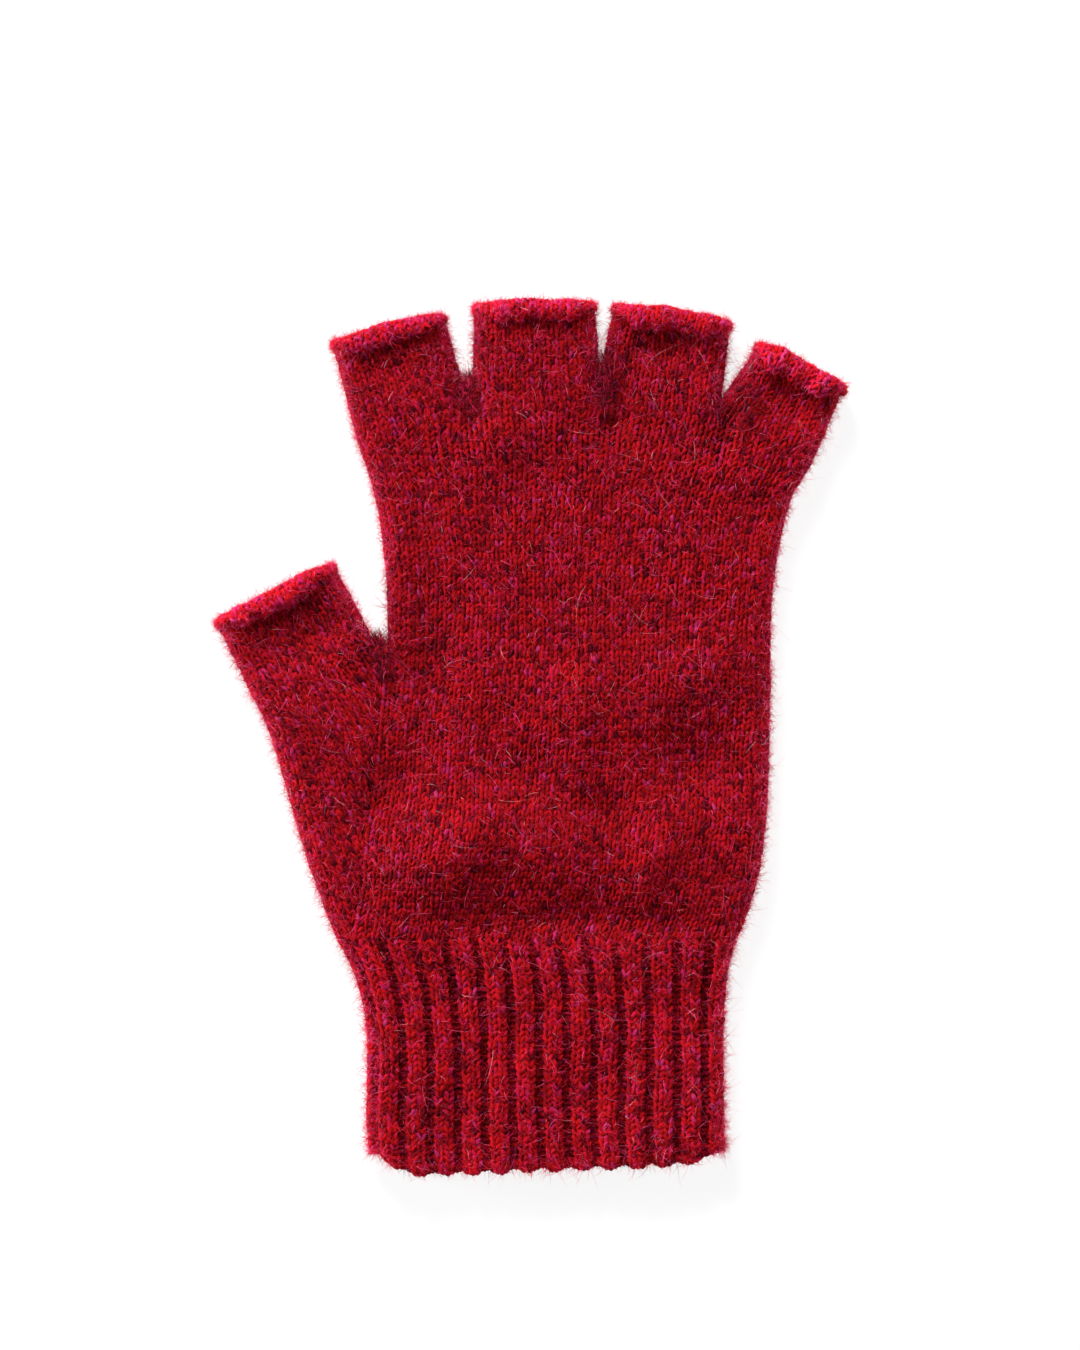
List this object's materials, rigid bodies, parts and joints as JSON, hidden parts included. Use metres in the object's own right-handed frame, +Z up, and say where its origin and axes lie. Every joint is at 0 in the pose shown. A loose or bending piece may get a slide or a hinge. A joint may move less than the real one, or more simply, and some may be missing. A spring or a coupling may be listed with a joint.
{
  "type": "fingerless glove",
  "caption": "Soft knitted fingerless glove: five open finger tubes with rolled edges, a plain hand and a ribbed cuff.",
  "frame": {"origin": "under the middle of the glove lying flat, on the surface that it lies on", "axes": "+Y towards the fingers, +X away from the thumb, +Z up out of the upper face"},
  "size_m": [0.1446, 0.2006, 0.0109],
  "materials": {
    "plain_knit": "plain knit in a brushed red heather yarn with a soft halo",
    "rib_knit": "ribbed knit in the same brushed red heather yarn",
    "rolled_edge": "the back of the knit, rolled outwards, brighter and pinker",
    "cast_on_edge": "soft scalloped cast-on edge of the same yarn",
    "web": "bridging stitches in the slits, in shade",
    "yarn": "loose two-ply brushed yarn"
  },
  "bodies": {
    "hand": {"four_finger_body": "plain_knit", "five_finger_body": "plain_knit", "index_middle_web": "web", "middle_ring_web": "web", "ring_little_web": "web", "thumb_web": "web"},
    "index_finger": {"index_finger_tube": "plain_knit", "index_finger_rolled_edge": "rolled_edge", "index_finger_yarn_tail": "yarn"},
    "middle_finger": {"middle_finger_tube": "plain_knit", "middle_finger_rolled_edge": "rolled_edge", "middle_finger_yarn_tail": "yarn"},
    "ring_finger": {"ring_finger_tube": "plain_knit", "ring_finger_rolled_edge": "rolled_edge", "ring_finger_yarn_tail": "yarn"},
    "little_finger": {"little_finger_tube": "plain_knit", "little_finger_rolled_edge": "rolled_edge", "little_finger_yarn_tail": "yarn"},
    "thumb": {"thumb_tube": "plain_knit", "thumb_rolled_edge": "rolled_edge", "thumb_yarn_tail": "yarn"},
    "cuff": {"rib_cuff": "rib_knit", "cast_on_edge": "cast_on_edge", "cuff_yarn_tail": "yarn"}
  },
  "joints": [
    {"name": "index_finger_fold", "type": "hinge", "parent": "hand", "child": "index_finger", "pos_m": [-0.02809, 0.07589, 0.00475], "axis": [0.9681, 0.2504, 0], "range_deg": [-25, 85], "stiffness_Nm_per_rad": 0.002},
    {"name": "middle_finger_fold", "type": "hinge", "parent": "hand", "child": "middle_finger", "pos_m": [0.00126, 0.07985, 0.00475], "axis": [0.9998, 0.0175, 0], "range_deg": [-25, 85], "stiffness_Nm_per_rad": 0.002},
    {"name": "ring_finger_fold", "type": "hinge", "parent": "hand", "child": "ring_finger", "pos_m": [0.03042, 0.0783, 0.00475], "axis": [0.9903, -0.1392, 0], "range_deg": [-25, 85], "stiffness_Nm_per_rad": 0.002},
    {"name": "little_finger_fold", "type": "hinge", "parent": "hand", "child": "little_finger", "pos_m": [0.05602, 0.07235, 0.00475], "axis": [0.8829, -0.4695, 0], "range_deg": [-25, 85], "stiffness_Nm_per_rad": 0.002},
    {"name": "thumb_fold", "type": "hinge", "parent": "hand", "child": "thumb", "pos_m": [-0.04871, 0.0132, 0.00475], "axis": [0.8934, 0.4493, 0], "range_deg": [-25, 85], "stiffness_Nm_per_rad": 0.002},
    {"name": "wrist_fold", "type": "hinge", "parent": "hand", "child": "cuff", "pos_m": [0.00405, -0.05115, 0.00475], "axis": [-1, 0, 0], "range_deg": [-25, 85], "stiffness_Nm_per_rad": 0.01}
  ]
}
